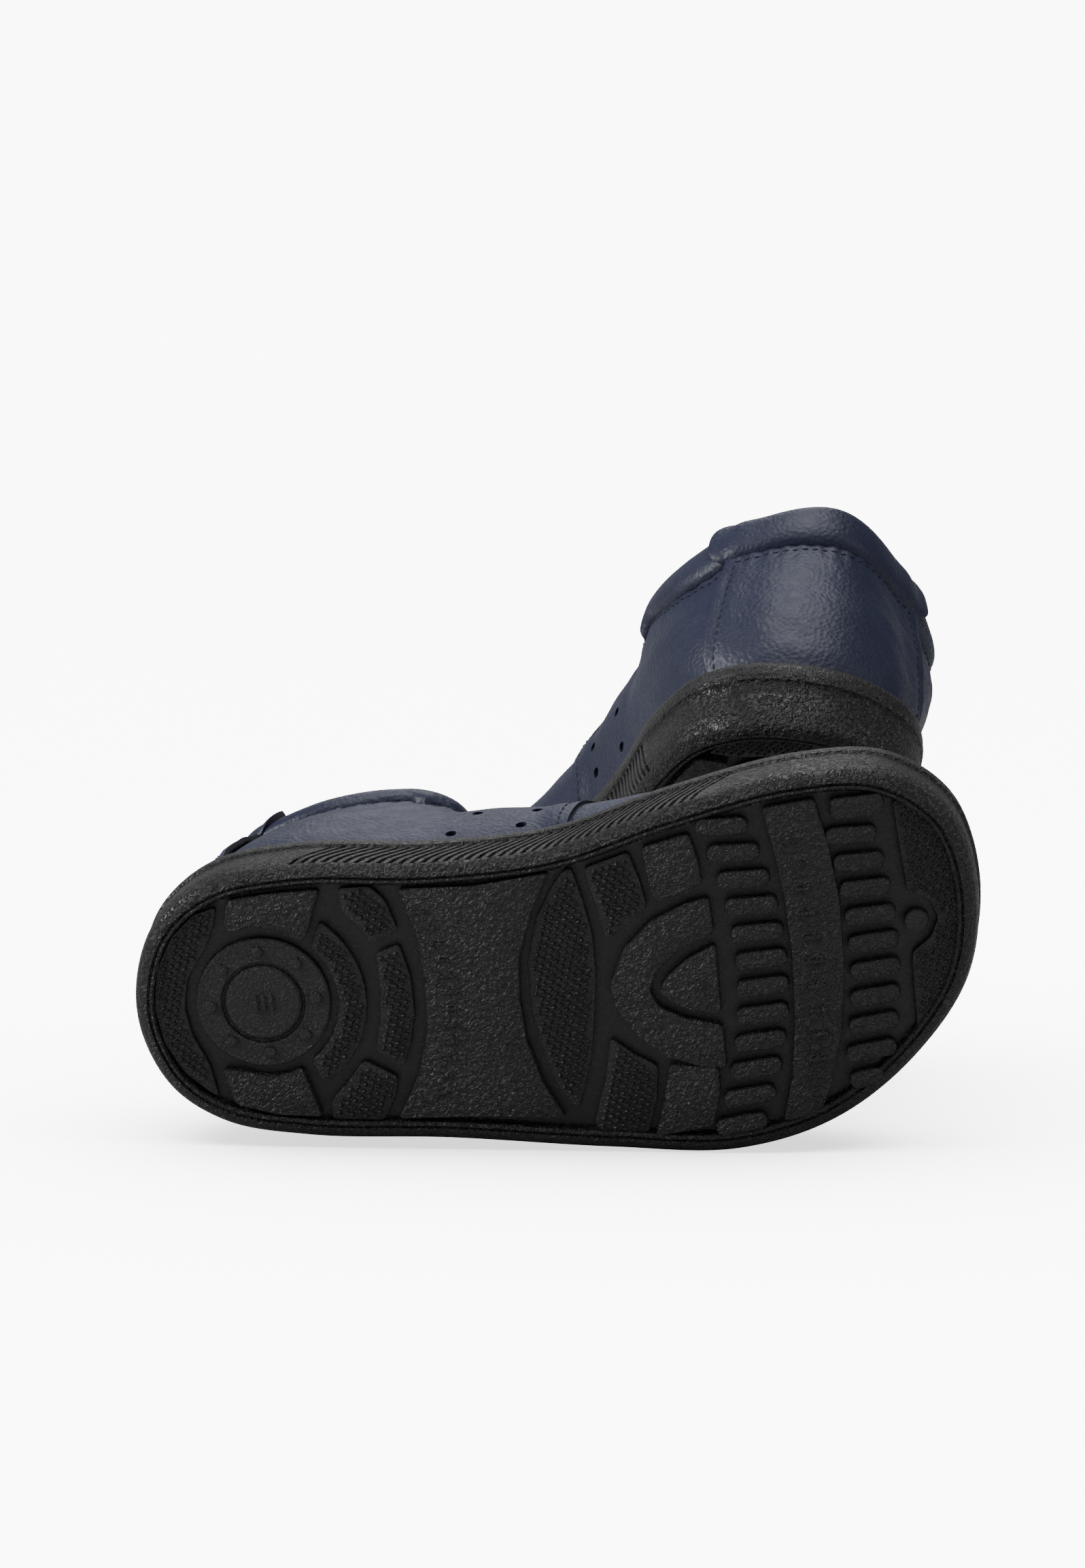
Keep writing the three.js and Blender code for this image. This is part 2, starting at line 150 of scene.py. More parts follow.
# %% [markdown]
# ## The upper's surface
# The leather upper is one smooth skin, so it is also a function: from each point of the rim a
# Bezier line climbs to the collar's top line, or over the foot to the ridge along the instep. The
# table says where each line ends. Panels, seams, stitches and holes are then just places (s, t) on
# the skin: s round the rim and t up the line. This keeps every piece in its neighbours' places.

# %% Shape the upper
CLOSING = [  # rim x: top x, half width inside and outside, height, dome share
    (0, 12, 0, 0, 63, 0),
    (15, 21, 16, 17.5, 59.5, 0),
    (30, 35, 21, 27, 57.5, 0),
    (46, 50, 22.5, 29, 57, 0),
    (60, 62, 19.5, 25, 58, 0.15),
    (67, 69, 10, 13, 61, 0.7),
    (74, 78, 0, 0, 60, 1),
    (88, 95, 0, 0, 53, 1),
    (112, 113, 0, 0, 46, 1),
    (138, 129, 0, 0, 41.5, 1),
    (158, 142, 0, 0, 38.5, 1),
    (SOLE_LENGTH, 150, 0, 0, 37, 1),
]


def smooth(low, high, value):
    k = np.clip((value - low) / (high - low), 0, 1)
    return k * k * (3 - 2 * k)


def through(rows, place, column=1):
    """A smooth curve through rows of (place, value)."""
    rows = np.array(rows, float)
    x, y = rows[:, 0], rows[:, column]
    slope = np.gradient(y, x)
    slope[1:-1] = (y[2:] - y[:-2]) / (x[2:] - x[:-2])
    place = np.clip(place, x[0], x[-1])
    i = np.clip(np.searchsorted(x, place, side="right") - 1, 0, len(x) - 2)
    span = x[i + 1] - x[i]
    k = (place - x[i]) / span
    return ((2 * k**3 - 3 * k**2 + 1) * y[i] + (k**3 - 2 * k**2 + k) * span * slope[i]
            + (3 * k**2 - 2 * k**3) * y[i + 1] + (k**3 - k**2) * span * slope[i + 1])


def round_ends(x):
    return np.arccos(1 - 2 * np.clip(x / SOLE_LENGTH, 0, 1))


closing = [[round_ends(row[0]), *row[1:]] for row in CLOSING]
mirrored = lambda row, centre: [2 * centre - row[0], row[1], -row[2], -row[3], *row[4:]]
closing = [mirrored(closing[1], 0), *closing, mirrored(closing[-2], math.pi)]


def upper(s, t):
    """Points of the upper. Below t = 0 the leather runs straight down inside the cup."""
    s, t = np.broadcast_arrays(np.asarray(s, float) % 1, np.asarray(t, float))
    x = at_share(s)[0][..., 0]
    flat, out = at_share(s, LEATHER_INSET)
    start = np.stack([flat[..., 0], flat[..., 1], RIM_HEIGHT + 0.5 + spring(flat[..., 0])], -1)
    out = np.concatenate([out, np.zeros_like(out[..., :1])], -1)
    inner = s <= TOE_S
    top_x, inner_y, outer_y, top_z, dome = (through(closing, round_ends(x), c) for c in range(1, 6))
    end = np.stack([top_x, np.where(inner, -inner_y, outer_y), top_z], -1)
    height = end[..., 2] - start[..., 2]
    up = np.array([0, 0, 1.0])
    mix = lambda a, b, k: a + (b - a) * k
    bulge = np.where(inner, 4, 9) * smooth(6, 34, x)
    dome_bulge = mix(9, 1.5, smooth(76, 116, x))
    first = start + out * mix(bulge, dome_bulge, dome)[..., None]
    first = first + up * (height * mix(0.4, 0.55, dome))[..., None]
    wall = end + out * mix(1.6, bulge, smooth(6, 34, x))[..., None] - up * (height * 0.3)[..., None]
    over = mix(end, start, 0.7)
    over[..., 2] = end[..., 2]
    second = mix(wall, over, dome[..., None])
    k = np.clip(t, 0, 1)[..., None]
    point = ((1 - k) ** 3 * start + 3 * (1 - k) ** 2 * k * first
             + 3 * (1 - k) * k**2 * second + k**3 * end)
    return point + up * (np.minimum(t, 0) * 30)[..., None]


def upper_normal(s, t):
    s, t = np.broadcast_arrays(np.asarray(s, float), np.asarray(t, float))
    level = np.clip(t, 0.004, 0.97)
    around = upper(s + 1e-3, level) - upper(s - 1e-3, level)
    rising = upper(s, level + 4e-3) - upper(s, level - 4e-3)
    normal = np.cross(around, rising)
    return normal / np.linalg.norm(normal, axis=-1, keepdims=True)


def on_upper(s, t, lift=0.0):
    return upper(s, t) + upper_normal(s, t) * np.asarray(lift, float)[..., None]


# %% [markdown]
# ## Seam lines
# The seams split the skin into panels. The collar seam runs round the ankle under the padded
# collar, the throat edge continues it along the instep, the heel seams climb the sides of the
# heel, and the vamp seam crosses in front of the straps.

# %% Set the seams
COLLAR_SEAM = [(0, 51.5), (15, 48.5), (30, 46), (46, 48.5), (60, 52.5), (67, 55)]
THROAT = [(54, 21), (66, 17), (88, 9.5)]
HEEL_SEAM_X = 15.5
levels = np.linspace(0, 1, 161)


def first_level(s, reached):
    """The lowest t on each line at which reached(points) is true."""
    hit = reached(upper(s[..., None], levels))
    return levels[np.argmax(hit, axis=-1)]


table_s = np.linspace(0, 1, 721)
table_x = at_share(table_s)[0][:, 0]
seam_z = through(COLLAR_SEAM, table_x)[:, None]
throat_y = through(THROAT, table_x)[:, None]
seam_t = np.minimum(first_level(table_s, lambda p: p[..., 2] >= seam_z), 0.97)
throat_t = first_level(table_s, lambda p: (np.abs(p[..., 1]) <= throat_y) & (levels > 0.3))
blend_t = smooth(54, 66, table_x)
quarter_line = seam_t + (throat_t - seam_t) * blend_t
quarter_line = np.convolve(np.pad(quarter_line, 10, "wrap"), np.ones(21) / 21, "valid")


def quarter_top(s):
    return np.interp(np.asarray(s, float) % 1, table_s, quarter_line)


heel_inner, heel_outer = float(inner_s(HEEL_SEAM_X)), float(outer_s(HEEL_SEAM_X))
print("heel seams at", round(heel_inner, 3), round(heel_outer, 3))

# %% [markdown]
# ## Making pieces
# Most pieces start as a flat grid whose points are then moved to a place given by a function of
# (u, v), both from 0 to 1. One helper does that, and another turns a finished mesh into objects
# for both shoes: the mesh is copied, put in place with the shoe's matrix, and its faces are turned
# back where the matrix mirrors them. Each piece rides on its shoe's body or a strap's body, except
# the straps and their stitches, which stay fixed where they are made, and stands for its parts of
# the imported model.

# %% Helpers for pieces
def start_grid(columns, rows, place):
    bm = bmesh.new()
    bmesh.ops.create_grid(bm, x_segments=columns, y_segments=rows, size=0.5)
    uv = np.array([v.co[:2] for v in bm.verts]) + 0.5
    for vert, point in zip(bm.verts, place(uv[:, 0], uv[:, 1])):
        vert.co = point
    return bm


def mesh_of(bm, name):
    """Turn a bmesh into a mesh, and free it."""
    mesh = bpy.data.meshes.new(name)
    bm.to_mesh(mesh)
    bm.free()
    return mesh


def join(bm, part):
    mesh = mesh_of(part, "part")
    bm.from_mesh(mesh)
    bpy.data.meshes.remove(mesh)


def add_object(name, data):
    obj = bpy.data.objects.new(name, data)
    bpy.context.scene.collection.objects.link(obj)
    return obj


SHARP_ANGLE = math.radians(40)


def both_shoes(bm, name, materials, nodes=None, body="{}_shoe", finish=None, bend=None):
    """One object for each shoe, standing for the nodes given or for the one of its own name."""
    mesh, pair = mesh_of(bm, name), []
    for side, place in PLACES.items():
        data = mesh.copy()
        data.transform(place)
        if side == "right":
            data.flip_normals()
        obj = add_object(f"{name}_{side}", data)
        for material in materials:
            data.materials.append(material)
        data.shade_smooth()
        data.set_sharp_from_angle(angle=SHARP_ANGLE)
        if finish:
            finish(obj)
        if bend is not None:
            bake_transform(obj)
        else:
            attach(obj, body.format(side))
        cad = [f"{side}_{node}" for node in ([name] if nodes is None else nodes)]
        if cad:
            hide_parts(*cad)
        pair.append(obj)
    print(name, len(mesh.polygons), "faces")
    return pair


# %% [markdown]
# ## Leather
# The uppers are smooth full-grain leather, dyed navy, with a fine pebble and faint creases. Its
# satin comes from a finish coat, so the shader is a dark blue base of medium roughness with a thin
# rough coat on top. Two layers of bump give the grain: small cells for the pebble, and stretched
# noise for the creases. All of it reads Object coordinates, so it stays put as the shoe moves.

# %% Node helpers
class Recipe:
    """A new material, with a shorthand for each kind of node it uses."""

    def __init__(self, name):
        self.material = bpy.data.materials.new(name)
        self.material.use_nodes = True
        self.tree = self.material.node_tree
        self.coords = self.add("TexCoord", {}).outputs["Object"]

    def put(self, node, inputs):
        """Link each input that is given a socket, and set each that is given a number."""
        for key, value in inputs.items():
            if isinstance(value, bpy.types.NodeSocket):
                self.tree.links.new(value, node.inputs[key])
            else:
                node.inputs[key].default_value = value
        return node

    def add(self, kind, inputs, **settings):
        node = self.tree.nodes.new("ShaderNode" + kind)
        for key, value in settings.items():
            setattr(node, key, value)
        return self.put(node, inputs)

    def ready(self, inputs):
        self.put(self.tree.nodes["Principled BSDF"], inputs)
        return self.material

    def noise(self, scale, detail=3.0, roughness=0.5, distortion=0.0):
        inputs = {"Vector": self.coords, "Scale": scale, "Detail": detail,
                  "Roughness": roughness, "Distortion": distortion}
        return self.add("TexNoise", inputs).outputs["Fac"]

    def ramp(self, value, low, high, first, last):
        inputs = {"Value": value, "From Min": low, "From Max": high, "To Min": first,
                  "To Max": last}
        return self.add("MapRange", inputs).outputs["Result"]

    def maths(self, operation, first, second):
        return self.add("Math", {0: first, 1: second}, operation=operation).outputs[0]

    def mix(self, factor, first, second):
        inputs = {0: factor, 6: (*first, 1), 7: (*second, 1)}
        return self.add("Mix", inputs, data_type="RGBA").outputs[2]

    def bump(self, height, distance, strength, under=None):
        inputs = {"Height": height, "Distance": distance, "Strength": strength}
        if under:
            inputs["Normal"] = under
        return self.add("Bump", inputs).outputs["Normal"]


# %% Navy leather
def leather_material(name, deep, pale):
    new = Recipe(name)
    pebble = new.add("TexVoronoi", {"Vector": new.coords, "Scale": 1150, "Smoothness": 0.6},
                     feature="SMOOTH_F1").outputs["Distance"]
    creases = new.noise(420, 5, 0.6)
    normal = new.bump(creases, 0.0002, 0.35)
    tone = new.ramp(new.noise(38), 0.3, 0.7, 0, 1)
    return new.ready({
        "Normal": new.bump(pebble, 0.00022, 0.6, normal), "Base Color": new.mix(tone, deep, pale),
        "Roughness": new.ramp(creases, 0.3, 0.7, 0.42, 0.54), "Specular IOR Level": 0.4,
        "Sheen Weight": 0.03, "Sheen Roughness": 0.4, "Coat Weight": 0.05, "Coat Roughness": 0.42})


navy = leather_material("navy_leather", (0.0115, 0.015, 0.04), (0.016, 0.0205, 0.051))
print("leather ready")

# %% [markdown]
# ## Cut edges, thread and lining
# Where leather is cut, its dyed edge is rougher and nearly black. The thread is a matt dark navy,
# and the linings and the footbed are woven, which two crossed wave patterns show well enough at
# this scale.

# %% Edge, thread and cloth
def plain_rough(name, colour, roughness, scale, distance):
    new = Recipe(name)
    grain = new.noise(scale, 4, 0.7)
    return new.ready({
        "Base Color": new.mix(grain, [0.55 * c for c in colour], colour),
        "Normal": new.bump(grain, distance, 0.8), "Roughness": roughness})


def woven(name, colour, pitch):
    new = Recipe(name)
    inputs = {"Vector": new.coords, "Scale": 0.314 / pitch, "Distortion": 0.4}
    x, y, z = (new.add("TexWave", inputs, bands_direction=way).outputs["Fac"] for way in "XYZ")
    height = new.maths("ADD", new.maths("ADD", x, y), z)
    tone = new.ramp(height, 0, 3, 0, 1)
    return new.ready({
        "Base Color": new.mix(tone, [0.5 * c for c in colour], colour), "Roughness": 0.85,
        "Normal": new.bump(height, 0.0002, 0.6), "Sheen Weight": 0.2})


cut_edge = plain_rough("cut_leather_edge", (0.012, 0.013, 0.022), 0.9, 2500, 0.0003)
thread = plain_rough("navy_thread", (0.01, 0.012, 0.03), 0.7, 4000, 0.00005)
lining_cloth = woven("lining_cloth", (0.02, 0.021, 0.03), 0.0008)
footbed_cloth = woven("footbed_cloth", (0.04, 0.045, 0.075), 0.001)
tape_pile = plain_rough("hook_and_loop_pile", (0.016, 0.017, 0.024), 0.95, 3000, 0.0006)
board = plain_rough("fibre_board", (0.26, 0.21, 0.15), 0.9, 900, 0.0002)

# %% [markdown]
# ## Rubber
# The cup sole is one moulding of black rubber. The mould was etched, so most of it carries a
# worm-like grain that breaks up the highlights, strongest on the walls round the heel and toe.
# The heel ring and the points are smoother and a little glossier. The groove floors are smooth,
# and their much darker base colour is painted shade for the recesses between the blocks. Three
# materials share one recipe with different grain.

# %% Black rubber
def rubber_material(name, colour, roughness, grain_depth, grain_scale):
    new = Recipe(name)
    worms = new.ramp(new.noise(grain_scale, 2.5, 0.55, 0.9), 0.42, 0.6, 0, 1)
    normal = new.bump(new.noise(grain_scale * 4, 2), 0.00006, 0.5)
    tone = new.ramp(new.noise(30), 0.3, 0.7, 0, 1)
    return new.ready({
        "Normal": new.bump(worms, grain_depth, 0.75, normal),
        "Base Color": new.mix(tone, colour, [1.35 * c for c in colour]),
        "Roughness": new.ramp(worms, 0, 1, roughness + 0.08, roughness - 0.04)})


rubber = rubber_material("black_rubber_grained", (0.0075, 0.0075, 0.009), 0.42, 0.001, 950)
rubber_fine = rubber_material("black_rubber_smooth", (0.009, 0.009, 0.0105), 0.34, 0.0002, 1700)
# The groove rubber is the same rubber with a far darker base colour: painted shade in the grooves.
groove_rubber_painted_shade = rubber_material("black_rubber_groove_painted_shade", (0.0028, 0.0028, 0.0034), 0.42, 0.00004,
                                1500)
RUBBERS = [rubber, rubber_fine, groove_rubber_painted_shade]
print("rubber ready")

# %% [markdown]
# ## The cup sole's wall
# Seen from the side the wall has a smooth band under the rim, slanted ribs along the waist and
# ball, and a plain bumper round heel and toe. Sweeping one profile round the outline makes all of
# it. The ribs need crisp edges without a huge mesh, so the columns of the sweep are slanted and
# spaced to the ribs themselves: each rib has four columns, two on its crown and two in its groove.

# %% Columns for the ribs
RIB_PITCH, RIB_FROM, RIB_TO = 2.2, 38, 121
RIB_DEPTH, RIB_LOW, RIB_HIGH, RIB_SLANT = 1.0, 2.0, 12.0, 0.75


def rib_columns():
    """Shares round the outline, and how deep in a groove each column is."""
    shares, groove = [], []
    inner = (float(inner_s(RIB_FROM)), float(inner_s(RIB_TO)))
    outer = (float(outer_s(RIB_TO)), float(outer_s(RIB_FROM)))
    zones = [(0, inner[0], 0), (*inner, 1), (inner[1], outer[0], 0), (*outer, 1), (outer[1], 1, 0)]
    for start, end, ribbed in zones:
        length = (end - start) * PERIMETER
        count = max(1, round(length / (RIB_PITCH if ribbed else 1.3)))
        for i in range(count):
            if not ribbed:
                shares.append(start + (end - start) * i / count)
                groove.append(0)
                continue
            for part, deep in ((0.04, 0), (0.52, 0), (0.64, 1), (0.92, 1)):
                shares.append(start + (end - start) * (i + part) / count)
                groove.append(deep)
    return np.array(shares), np.array(groove)


rib_s, rib_groove = rib_columns()
print(len(rib_s), "columns round the wall")

# %% Sweep the wall
FLOOR_Z = 1.9
# Each row is: inset from the outline, height, and whether the ribs show on it.
WALL_ROWS = np.array([
    (5.0, FLOOR_Z, 0), (4.5, FLOOR_Z, 0), (4.25, 0.25, 0), (3.9, 0.0, 0), (3.5, 0.05, 0),
    (3.3, 0.5, 0), (3.05, 0.5, 0), (2.85, 0.1, 0), (2.2, 0.25, 0), (1.3, 0.75, 0), (0.6, 1.5, 0),
    (0.42, RIB_LOW, 0), (0.38, RIB_LOW + 0.25, 1), (0.05, 3.8, 1), (0.05, 6.0, 1), (0.2, 8.5, 1),
    (0.45, RIB_HIGH, 1), (0.3, RIB_HIGH + 0.3, 0), (-0.05, RIB_HIGH + 0.6, 0), (-0.1, 13.8, 0),
    (0.2, 14.1, 0), (0.1, 15.6, 0), (0.3, 16.4, 0), (0.8, RIM_HEIGHT, 0), (2.3, RIM_HEIGHT, 0),
    (2.8, 16.6, 0), (2.9, 12, 0), (3.0, 7.0, 0),
])


def rib_lean(shares):
    """Ribs lean towards the toe at the top on both sides, and stand straight at heel and toe."""
    x = at_share(shares)[0][:, 0]
    side = np.where(shares <= TOE_S, 1, -1)
    return side * smooth(22, RIB_FROM, x) * (1 - smooth(RIB_TO, 138, x))


def wall_point(u, v):
    column = np.rint(u * len(rib_s)).astype(int) % len(rib_s)
    inset, height, ribbed = WALL_ROWS[np.rint(v * (len(WALL_ROWS) - 1)).astype(int)].T
    slant = (height - 8) * RIB_SLANT / PERIMETER * rib_lean(rib_s[column])
    flat, _ = at_share(rib_s[column] + slant, inset + RIB_DEPTH * ribbed * rib_groove[column])
    return np.stack([flat[:, 0], flat[:, 1], height + spring(flat[:, 0])], -1)


sole = start_grid(len(rib_s), len(WALL_ROWS) - 1, wall_point)
bmesh.ops.remove_doubles(sole, verts=sole.verts, dist=1e-4)
print(len(sole.faces), "faces in the wall")

# %% [markdown]
# ## The groove floor
# Inside the border line the sole drops by just over a millimetre to a smooth floor, and the tread
# blocks stand on it. One face fills the border's inner loop, and another closes the floor of the
# cup above. Both are cut across every few millimetres, so that they can follow the toe spring.

# %% Fill the floor
# The groove floor takes the darker rubber, whose colour is painted shade for the grooves.
GROOVE = 2  # the third of the sole's materials


def cut_across(bm, geom, x):
    return bmesh.ops.bisect_plane(bm, geom=geom, dist=1e-5, plane_co=(x, 0, 0),
                                  plane_no=(1, 0, 0))["geom"]


open_edges = [e for e in sole.edges if e.is_boundary]
floor_faces = bmesh.ops.holes_fill(sole, edges=open_edges, sides=0)["faces"]
for face in floor_faces:
    face.material_index = GROOVE
for x in range(TREAD_START, 166, 4):
    loose = {e for f in floor_faces for e in f.edges} | {v for f in floor_faces for v in f.verts}
    cut = cut_across(sole, list(loose) + floor_faces, x)
    floor_faces = list({f for f in cut if isinstance(f, bmesh.types.BMFace)})
bmesh.ops.recalc_face_normals(sole, faces=sole.faces)
print("floor faces", len(floor_faces))

# %% [markdown]
# ## Tread blocks
# The tread is laid out round the ring under the heel. Each block is a short list of corners,
# measured ahead of the ring's centre and towards the inner side. A block starts as one face:
# bevelling its corners rounds them, extruding lifts it, and a small bevel softens its top edge.
# Curved sides get a few extra corners from an arc.

# %% Block maker
RING_CENTRE, LAYOUT_SCALE = 26.4, 0.977


def layout(a, b):
    return RING_CENTRE + a * LAYOUT_SCALE, -b * LAYOUT_SCALE


def arc(centre, radius, start, end, count):
    turns = np.radians(np.linspace(start, end, count))
    return [(centre[0] + radius * math.cos(k), centre[1] + radius * math.sin(k)) for k in turns]


tread = bmesh.new()


def add_to_tread(new, fine):
    bmesh.ops.recalc_face_normals(new, faces=new.faces)
    for face in new.faces:
        face.material_index = fine
    join(tread, new)


def block(corners, top=0.0, corner=0.9, edge=0.28, fine=0):
    """A raised block on the groove floor."""
    new = bmesh.new()
    new.faces.new([new.verts.new((*layout(a, b), FLOOR_Z + 0.2)) for a, b in corners])
    if corner:
        bmesh.ops.bevel(new, geom=new.verts[:], offset=corner, offset_type="OFFSET", segments=3,
                        profile=0.5, affect="VERTICES", clamp_overlap=True, material=-1)
    bmesh.ops.remove_doubles(new, verts=new.verts, dist=0.02)
    face = max(new.faces, key=lambda f: f.calc_area())
    lifted = bmesh.ops.extrude_face_region(new, geom=[face])["geom"]
    crown = [f for f in lifted if isinstance(f, bmesh.types.BMFace)]
    for vert in {v for f in crown for v in f.verts}:
        vert.co.z = top
    if edge:
        rim = list({e for f in crown for e in f.edges})
        bmesh.ops.bevel(new, geom=rim, offset=edge, offset_type="OFFSET", segments=2,
                        profile=0.5, affect="EDGES", clamp_overlap=True, material=-1)
    add_to_tread(new, fine)


def bar(a, b, length, width, turn=0.0, **look):
    """A block with four corners, its length along the shoe before it is turned."""
    c, s = math.cos(math.radians(turn)), math.sin(math.radians(turn))
    half = [(-length / 2, -width / 2), (length / 2, -width / 2), (length / 2, width / 2),
            (-length / 2, width / 2)]
    block([(a + p * c - q * s, b + p * s + q * c) for p, q in half], **look)


MARK = {"top": -0.22, "edge": 0.1}  # the low bars that stand in for moulded marks

# %% [markdown]
# Some blocks are filled with rows of small points, like a file. Each point is a low four-sided
# cone. They sit on a slanted lattice, and only those well inside the block's own corners are kept.

# %% Points
POINT_PITCH, POINT_SIZE = 1.62, 0.66


def edge_distance(corners, a, b):
    """How far a place is inside a block, or a negative number outside it."""
    hit, near = False, 1e9
    for (a0, b0), (a1, b1) in zip(corners, corners[1:] + corners[:1]):
        if (b0 > b) != (b1 > b) and a < (a1 - a0) * (b - b0) / (b1 - b0) + a0:
            hit = not hit
        side, here = Vector((a1 - a0, b1 - b0)), Vector((a - a0, b - b0))
        k = max(0, min(1, here.dot(side) / max(side.length_squared, 1e-9)))
        near = min(near, (here - side * k).length)
    return near if hit else -near


point_places = []


def pointed_block(corners, corner=0.9):
    block(corners, top=0.55, corner=corner, fine=1)
    low = np.min(corners, axis=0)
    high = np.max(corners, axis=0)
    turn = math.radians(14)
    reach = int(max(high - low) / POINT_PITCH) + 4
    for i in range(-reach, reach + 1):
        for j in range(-reach, reach + 1):
            p, q = (i + 0.5 * (j % 2)) * POINT_PITCH, j * POINT_PITCH * 0.8
            a = (low[0] + high[0]) / 2 + p * math.cos(turn) - q * math.sin(turn)
            b = (low[1] + high[1]) / 2 + p * math.sin(turn) + q * math.cos(turn)
            if edge_distance(corners, a, b) > 0.85:
                point_places.append(layout(a, b))


# %% [markdown]
# ## Heel
# The heel's tread turns round a medallion: a flat disc with a ring groove, a broad ring with eight
# studs, and a deeper groove outside it. Blocks with grain alternate with pointed ones. The disc
# carries three plain bars where a size mark would be moulded.

# %% Heel medallion
def spun_ring(radii):
    """Spin a half profile of (radius, height) round the ring's centre."""
    new = bmesh.new()
    verts = [new.verts.new((RING_CENTRE + r, 0, z)) for r, z in radii]
    edges = [new.edges.new(pair) for pair in zip(verts, verts[1:])]
    bmesh.ops.spin(new, geom=verts + edges, cent=(RING_CENTRE, 0, 0), axis=(0, 0, 1),
                   angle=math.tau, steps=72, use_merge=True)
    bmesh.ops.remove_doubles(new, verts=new.verts, dist=1e-4)
    add_to_tread(new, 1)


spun_ring([(0, 2.0), (13.6, 2.0), (13.5, 0.75), (13.2, 0.5), (12.9, 0.5), (12.6, 0.55), (9.1, 0.55),
           (8.8, 0.5), (8.5, 0.6), (8.3, 1.05), (7.9, 1.1), (7.6, 0.6), (7.3, 0.42), (6.9, 0.42),
           (0.0, 0.42)])
for centre in arc((0, 0), 10.9, 0, 315, 8):
    block(arc(centre, 1.35, 0, 330, 12), top=0.2, corner=0, edge=0.3, fine=1)
for offset in (-1.6, 0, 1.6):
    bar(offset, 0, 0.8, 3.8, top=0.2, corner=0.2, edge=0.12, fine=1)

# %% Heel blocks
pointed_block([(-7.0, 21.3), (-12, 20), (-17, 15.8), (-21, 9), (-22.6, 1), (-21.6, -7),
               (-18.4, -13.5), (-14, -18), (-11.8, -19.6), (-12.8, -12.6), (-15.6, -5.5),
               (-16.3, 0), (-15, 6.2), (-10, 13.2), (-8, 17.5)][::-1])
block([(-4.6, 22.6), (4, 23.2), (14.6, 23.1), (11.2, 14.5), (9.8, 12.3), (5.2, 15.6), (0, 16.4),
       (-5, 15.7), (-6, 17)])
block([(-10.2, -13.4), (-6.4, -14.2), (-2, -15.6), (2, -15.8), (6.2, -14.6), (9, -25.6),
       (0, -24.4), (-8.6, -21.4)])
pointed_block([(18.4, 23), (25, 22.8), (27.8, 19.5), (29.6, 13), (27.5, 11.8), (23.8, 10.6),
               (21.5, 14.6), (18.4, 18)])
pointed_block(arc((0, 0), 21.3, 50, -61, 14) + arc((0, 0), 15.6, -58, 44, 12))
pointed_block([(24.4, 8.4), (29.4, 10), (30.9, 3), (30.8, -5), (29, -12), (27, -16.4),
               (21.6, -12.2), (23.4, -6.6), (24.4, 0)])
pointed_block([(19, -14.2), (25.6, -18.4), (24.6, -22.5), (21.6, -27.6), (10.8, -26.4), (11, -22.6),
               (14.8, -19)])

# %% [markdown]
# ## Waist and ball
# A large grained block spans the waist. Its ends are curved to match the heel's groove and the
# lens-shaped block ahead of it. Raised bars stand in for a moulded mark. Under the ball, a rounded
# block holds a smaller one inside a groove, with pointed and grained blocks at both sides.

# %% Waist and ball blocks
block([(30.6, 21.8), (46, 21), (61.6, 22.4), (57, 14), (53.6, 5), (52.6, -4), (53, -13),
       (55.2, -22), (59, -30.4), (40, -28.2), (24.6, -27.4), (30, -18), (33, -8), (33.8, 2),
       (33.2, 12)])
for i in range(12):
    b = 16.6 - i * 3.55
    bar(38.6 - 4.6 * ((b + 2.5) / 20) ** 2, b, 3, 0.64, corner=0.2, **MARK)
pointed_block([(66.4, 22.6), (67.8, 16), (69, 8), (68.6, 0), (67.4, -8), (66, -16), (63.4, -24),
               (61.6, -29), (58.4, -24), (56, -16), (54.6, -6), (55.2, 4), (58, 13), (62, 19.4),
               (65, 22.8)])
pointed_block([(68.8, 22.6), (78.2, 25.2), (79.8, 19), (80.8, 13.2), (75.6, 9.8), (71.6, 6.6),
               (70.6, 14)])
block([(81, 26), (90.8, 28), (92.2, 22), (92.4, 17), (87, 15.6), (82.4, 13.8), (81.8, 18)])
block([(93.4, 14.2), (88, 13.2), (81, 10.2), (75, 5), (71.2, -2.6), (72, -8), (75.6, -14),
       (81, -19), (88, -21.8), (93, -22.6), (93.2, -13.2), (86, -11.2), (80.6, -8), (79.2, -4.4),
       (81.2, -0.4), (86, 3.6), (93.6, 6.4)])
block([(93.6, 4.2), (87.4, 1.6), (83, -1.8), (81.2, -4.4), (82.6, -6.8), (87, -9.6), (93.2, -11)])
block(arc((89.6, -4), 1.1, 0, 330, 12), top=-0.25, corner=0, edge=0.2)
pointed_block([(70, -14), (74.8, -18.2), (79, -20.8), (78, -28), (75.4, -35.2), (65.6, -34),
               (64.6, -32), (68, -23)])
block([(81.4, -20.6), (91.4, -22.2), (91, -28), (88.8, -34.8), (76.8, -36), (79.6, -28)])

# %% [markdown]
# ## Forefoot
# Two rows of rounded bars cross the forefoot with a grained band between them. The bars fan out a
# little, because the rows are curved. Beyond them a pointed toe piece frames one round stud.

# %% Forefoot bars
BAR_WIDTH, BAR_LOOK = 3.7, {"corner": 1.45, "edge": 0.3}

